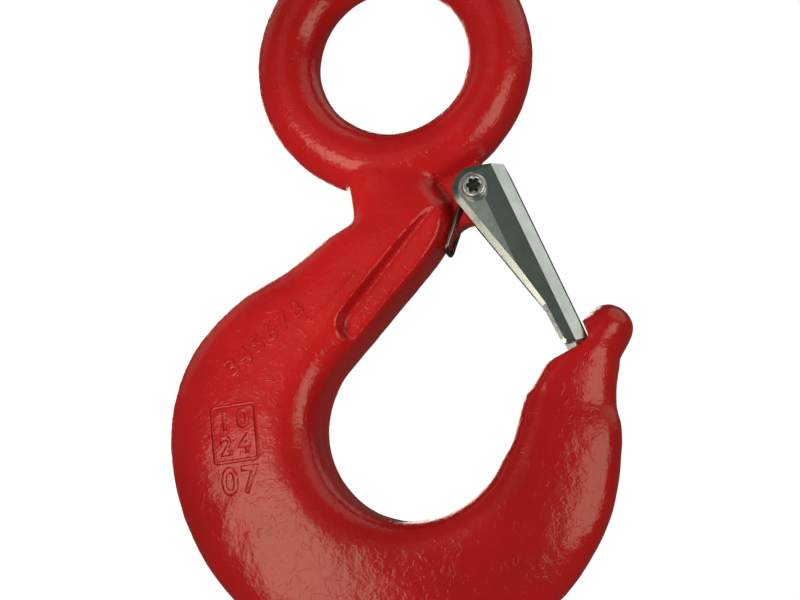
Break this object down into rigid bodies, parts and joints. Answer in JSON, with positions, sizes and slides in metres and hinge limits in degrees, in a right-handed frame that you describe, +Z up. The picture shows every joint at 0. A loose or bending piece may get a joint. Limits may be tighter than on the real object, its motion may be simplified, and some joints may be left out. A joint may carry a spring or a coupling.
{
  "type": "eye hook with latch",
  "caption": "Forged eye sling hook with a wide bowl, a rounded point and a sprung channel latch that turns on a screw through the neck's lug.",
  "frame": {"origin": "centre of the eye's hole, in the hook's mid-plane", "axes": "+Z up from the bowl to the eye, +X from the back of the hook towards its point, Y across the thickness with the screw's head at -Y"},
  "size_m": [0.1017, 0.0251, 0.1656],
  "materials": {
    "red_paint": "glossy red stove enamel over a forged skin",
    "zinc_plate": "bright zinc plate on pressed sheet steel",
    "spring_wire": "plated spring wire",
    "screw_steel": "plated screw steel"
  },
  "bodies": {
    "hook": {"hook_body": "red_paint", "pivot_screw": "screw_steel", "lock_nut": "screw_steel", "latch_spring": "spring_wire"},
    "latch": {"latch": "zinc_plate"}
  },
  "joints": [
    {"name": "latch_hinge", "type": "hinge", "parent": "hook", "child": "latch", "pos_m": [0.0197, 0, -0.0324], "axis": [0, 1, 0], "range_deg": [0, 66], "stiffness_Nm_per_rad": 0.2, "springref_deg": -28.65, "deforming": ["latch_spring"]}
  ]
}
